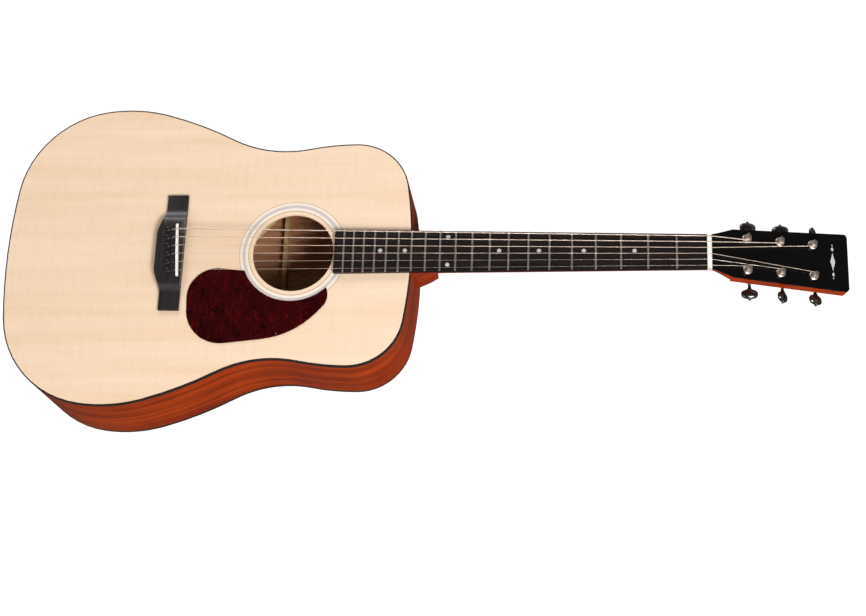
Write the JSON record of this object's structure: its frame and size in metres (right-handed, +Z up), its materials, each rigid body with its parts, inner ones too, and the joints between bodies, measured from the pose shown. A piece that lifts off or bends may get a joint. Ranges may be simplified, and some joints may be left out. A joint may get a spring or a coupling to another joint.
{
  "type": "acoustic guitar",
  "caption": "Flat-top acoustic guitar with a square-shouldered body, pickguard, fretted neck, leaning headstock, steel strings and open worm-gear tuners.",
  "frame": {"origin": "on the table under the middle of the whole instrument, which lies on its back", "axes": "+X along the neck towards the headstock, +Y towards the bass side, +Z up, out of the soundboard"},
  "size_m": [1.0584, 0.3984, 0.1351],
  "materials": {
    "spruce_top": "thin gloss lacquer",
    "mahogany": "gloss lacquer",
    "brace_wood": "bare sanded wood",
    "ebony": "oiled, satin",
    "head_overlay": "gloss black",
    "black_plastic": "moulded, semi-gloss",
    "binding": "gloss black",
    "rosette_inlay": "polished inlay",
    "bone": "polished off-white",
    "pearl_dot": "polished inlay",
    "tortoise": "glossy dark red tortoiseshell pattern",
    "fret_wire": "polished",
    "rod_steel": "plain steel",
    "rod_brass": "plain",
    "nickel": "polished nickel plate",
    "gear_brass": "machined",
    "plain_string": "drawn wire",
    "wound_string": "round wound bronze"
  },
  "bodies": {
    "instrument": {"soundboard": "spruce_top", "rosette": "rosette_inlay", "back_plate": "mahogany", "side_bass": "mahogany", "side_treble": "mahogany", "edge_bindings": "binding", "linings": "brace_wood", "neck_block": "mahogany", "tail_block": "mahogany", "end_wedge": "black_plastic", "end_pin": "black_plastic", "x_brace_lower": "brace_wood", "x_brace_upper": "brace_wood", "transverse_brace": "brace_wood", "soundhole_braces": "brace_wood", "tone_bars": "brace_wood", "finger_braces": "brace_wood", "bridge_plate": "brace_wood", "back_braces": "brace_wood", "back_strips": "brace_wood", "bridge": "ebony", "saddle": "bone", "bridge_pins": "black_plastic", "pickguard": "tortoise", "neck": "mahogany", "heel_cap": "black_plastic", "fretboard": "ebony", "frets": "fret_wire", "position_dots": "pearl_dot", "nut": "bone", "head_veneer": "head_overlay", "truss_rod": "rod_steel", "tuner_plates": "nickel", "tuner_bushings": "nickel", "tuner_screws": "nickel", "string_1": "plain_string", "string_2": "plain_string", "string_3": "wound_string", "string_4": "wound_string", "string_5": "wound_string", "string_6": "wound_string"},
    "rod_nut": {"truss_rod_nut": "rod_brass"},
    "post_1": {"tuner_post_1": "nickel", "tuner_gear_1": "gear_brass"},
    "key_1": {"tuner_key_1": "nickel"},
    "post_2": {"tuner_post_2": "nickel", "tuner_gear_2": "gear_brass"},
    "key_2": {"tuner_key_2": "nickel"},
    "post_3": {"tuner_post_3": "nickel", "tuner_gear_3": "gear_brass"},
    "key_3": {"tuner_key_3": "nickel"},
    "post_4": {"tuner_post_4": "nickel", "tuner_gear_4": "gear_brass"},
    "key_4": {"tuner_key_4": "nickel"},
    "post_5": {"tuner_post_5": "nickel", "tuner_gear_5": "gear_brass"},
    "key_5": {"tuner_key_5": "nickel"},
    "post_6": {"tuner_post_6": "nickel", "tuner_gear_6": "gear_brass"},
    "key_6": {"tuner_key_6": "nickel"}
  },
  "joints": [
    {"name": "truss_rod_nut_turn", "type": "hinge", "parent": "instrument", "child": "rod_nut", "pos_m": [-0.05016, 0, 0.1002], "axis": [0.9981, 0, -0.0609], "range_deg": [-180, 180]},
    {"name": "key_1_turn", "type": "hinge", "parent": "instrument", "child": "key_1", "pos_m": [0.41039, -0.02, 0.05314], "axis": [0, 1, 0], "continuous": true},
    {"name": "post_1_turn", "type": "hinge", "parent": "instrument", "child": "post_1", "pos_m": [0.40819, -0.02, 0.07504], "axis": [0.2922, 0, 0.9564], "continuous": true},
    {"name": "key_2_turn", "type": "hinge", "parent": "instrument", "child": "key_2", "pos_m": [0.44989, -0.02, 0.04107], "axis": [0, 1, 0], "continuous": true},
    {"name": "post_2_turn", "type": "hinge", "parent": "instrument", "child": "post_2", "pos_m": [0.44769, -0.02, 0.06297], "axis": [0.2922, 0, 0.9564], "continuous": true},
    {"name": "key_3_turn", "type": "hinge", "parent": "instrument", "child": "key_3", "pos_m": [0.48939, -0.02, 0.02901], "axis": [0, 1, 0], "continuous": true},
    {"name": "post_3_turn", "type": "hinge", "parent": "instrument", "child": "post_3", "pos_m": [0.48719, -0.02, 0.05091], "axis": [0.2922, 0, 0.9564], "continuous": true},
    {"name": "key_4_turn", "type": "hinge", "parent": "instrument", "child": "key_4", "pos_m": [0.48939, 0.02, 0.02901], "axis": [0, 1, 0], "continuous": true},
    {"name": "post_4_turn", "type": "hinge", "parent": "instrument", "child": "post_4", "pos_m": [0.48719, 0.02, 0.05091], "axis": [0.2922, 0, 0.9564], "continuous": true},
    {"name": "key_5_turn", "type": "hinge", "parent": "instrument", "child": "key_5", "pos_m": [0.44989, 0.02, 0.04107], "axis": [0, 1, 0], "continuous": true},
    {"name": "post_5_turn", "type": "hinge", "parent": "instrument", "child": "post_5", "pos_m": [0.44769, 0.02, 0.06297], "axis": [0.2922, 0, 0.9564], "continuous": true},
    {"name": "key_6_turn", "type": "hinge", "parent": "instrument", "child": "key_6", "pos_m": [0.41039, 0.02, 0.05314], "axis": [0, 1, 0], "continuous": true},
    {"name": "post_6_turn", "type": "hinge", "parent": "instrument", "child": "post_6", "pos_m": [0.40819, 0.02, 0.07504], "axis": [0.2922, 0, 0.9564], "continuous": true}
  ],
  "couplings": [
    {"joint": "post_1_turn", "follows": "key_1_turn", "ratio": -0.071429},
    {"joint": "post_2_turn", "follows": "key_2_turn", "ratio": -0.071429},
    {"joint": "post_3_turn", "follows": "key_3_turn", "ratio": -0.071429},
    {"joint": "post_4_turn", "follows": "key_4_turn", "ratio": -0.071429},
    {"joint": "post_5_turn", "follows": "key_5_turn", "ratio": -0.071429},
    {"joint": "post_6_turn", "follows": "key_6_turn", "ratio": -0.071429}
  ]
}
